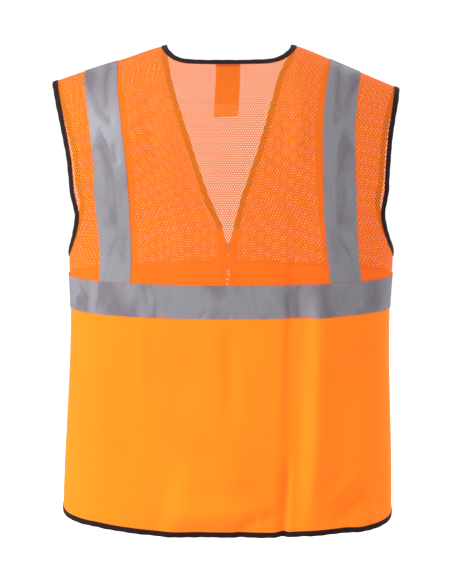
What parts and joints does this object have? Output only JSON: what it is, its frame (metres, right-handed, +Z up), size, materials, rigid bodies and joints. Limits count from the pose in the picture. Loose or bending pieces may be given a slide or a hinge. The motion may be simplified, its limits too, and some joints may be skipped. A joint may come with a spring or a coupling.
{
  "type": "high visibility vest",
  "caption": "Sleeveless high visibility vest with a mesh upper, solid lower panels, reflective waist and brace tapes, black bindings, V neck and front zip.",
  "frame": {"origin": "middle of the neck opening, level with the tops of the shoulder seams, in the plane of the side seams", "axes": "+Z up, +Y the way the wearer faces, so the back of the vest faces -Y; +X the wearer's right"},
  "size_m": [0.5276, 0.2358, 0.7405],
  "materials": {
    "mesh_cloth": "open knitted polyester mesh, matt",
    "solid_cloth": "fluorescent orange tricot, soft sheen",
    "reflective_tape": "silver retroreflective tape, satin",
    "binding": "black folded binding, matt",
    "zip_tape": "woven orange zip tape",
    "zip_plastic": "moulded orange teeth",
    "zip_metal": "cast, dull",
    "label": "plain white woven label, blank"
  },
  "bodies": {
    "back": {"back_mesh_panel": "mesh_cloth", "back_lower_panel": "solid_cloth", "back_waist_tape": "reflective_tape", "left_back_brace_tape": "reflective_tape", "right_back_brace_tape": "reflective_tape", "back_neck_binding": "binding", "left_back_armhole_binding": "binding", "right_back_armhole_binding": "binding", "back_hem_binding": "binding"},
    "left_front": {"left_front_mesh_panel": "mesh_cloth", "left_front_lower_panel": "solid_cloth", "left_front_waist_tape": "reflective_tape", "left_front_brace_tape": "reflective_tape", "left_front_neck_binding": "binding", "left_front_armhole_binding": "binding", "left_front_hem_binding": "binding", "left_zip_tape": "zip_tape", "left_zip_chain": "zip_plastic", "left_top_stop": "zip_metal", "retainer_box": "zip_plastic"},
    "right_front": {"right_front_mesh_panel": "mesh_cloth", "right_front_lower_panel": "solid_cloth", "right_front_waist_tape": "reflective_tape", "right_front_brace_tape": "reflective_tape", "right_front_neck_binding": "binding", "right_front_armhole_binding": "binding", "right_front_hem_binding": "binding", "right_zip_tape": "zip_tape", "right_zip_chain": "zip_plastic", "right_top_stop": "zip_metal", "insertion_pin": "zip_plastic"},
    "zip_slider": {"zip_slider": "zip_metal"},
    "zip_pull_tab": {"zip_pull_tab": "zip_metal"},
    "care_label": {"care_label": "label", "care_label_second_leaf": "label"}
  },
  "joints": [
    {"name": "left_front_open", "type": "hinge", "parent": "back", "child": "left_front", "pos_m": [-0.267, 0, 0], "axis": [0, 0, 1], "range_deg": [0, 40], "deforming": ["right_zip_tape"]},
    {"name": "right_front_open", "type": "hinge", "parent": "back", "child": "right_front", "pos_m": [0.267, 0, 0], "axis": [0, 0, -1], "range_deg": [0, 40], "deforming": ["right_zip_chain"]},
    {"name": "zip_slider_slide", "type": "slide", "parent": "left_front", "child": "zip_slider", "axis": [0, 0, -1], "range_m": [0, 0.358], "deforming": ["left_zip_chain"]},
    {"name": "zip_pull_tab_swing", "type": "hinge", "parent": "zip_slider", "child": "zip_pull_tab", "pos_m": [0, 0.11245, -0.3303], "axis": [1, 0, 0], "range_deg": [0, 150]},
    {"name": "care_label_flip", "type": "hinge", "parent": "back", "child": "care_label", "pos_m": [0, -0.0663, -0.029], "axis": [1, 0, 0], "range_deg": [0, 90]}
  ]
}
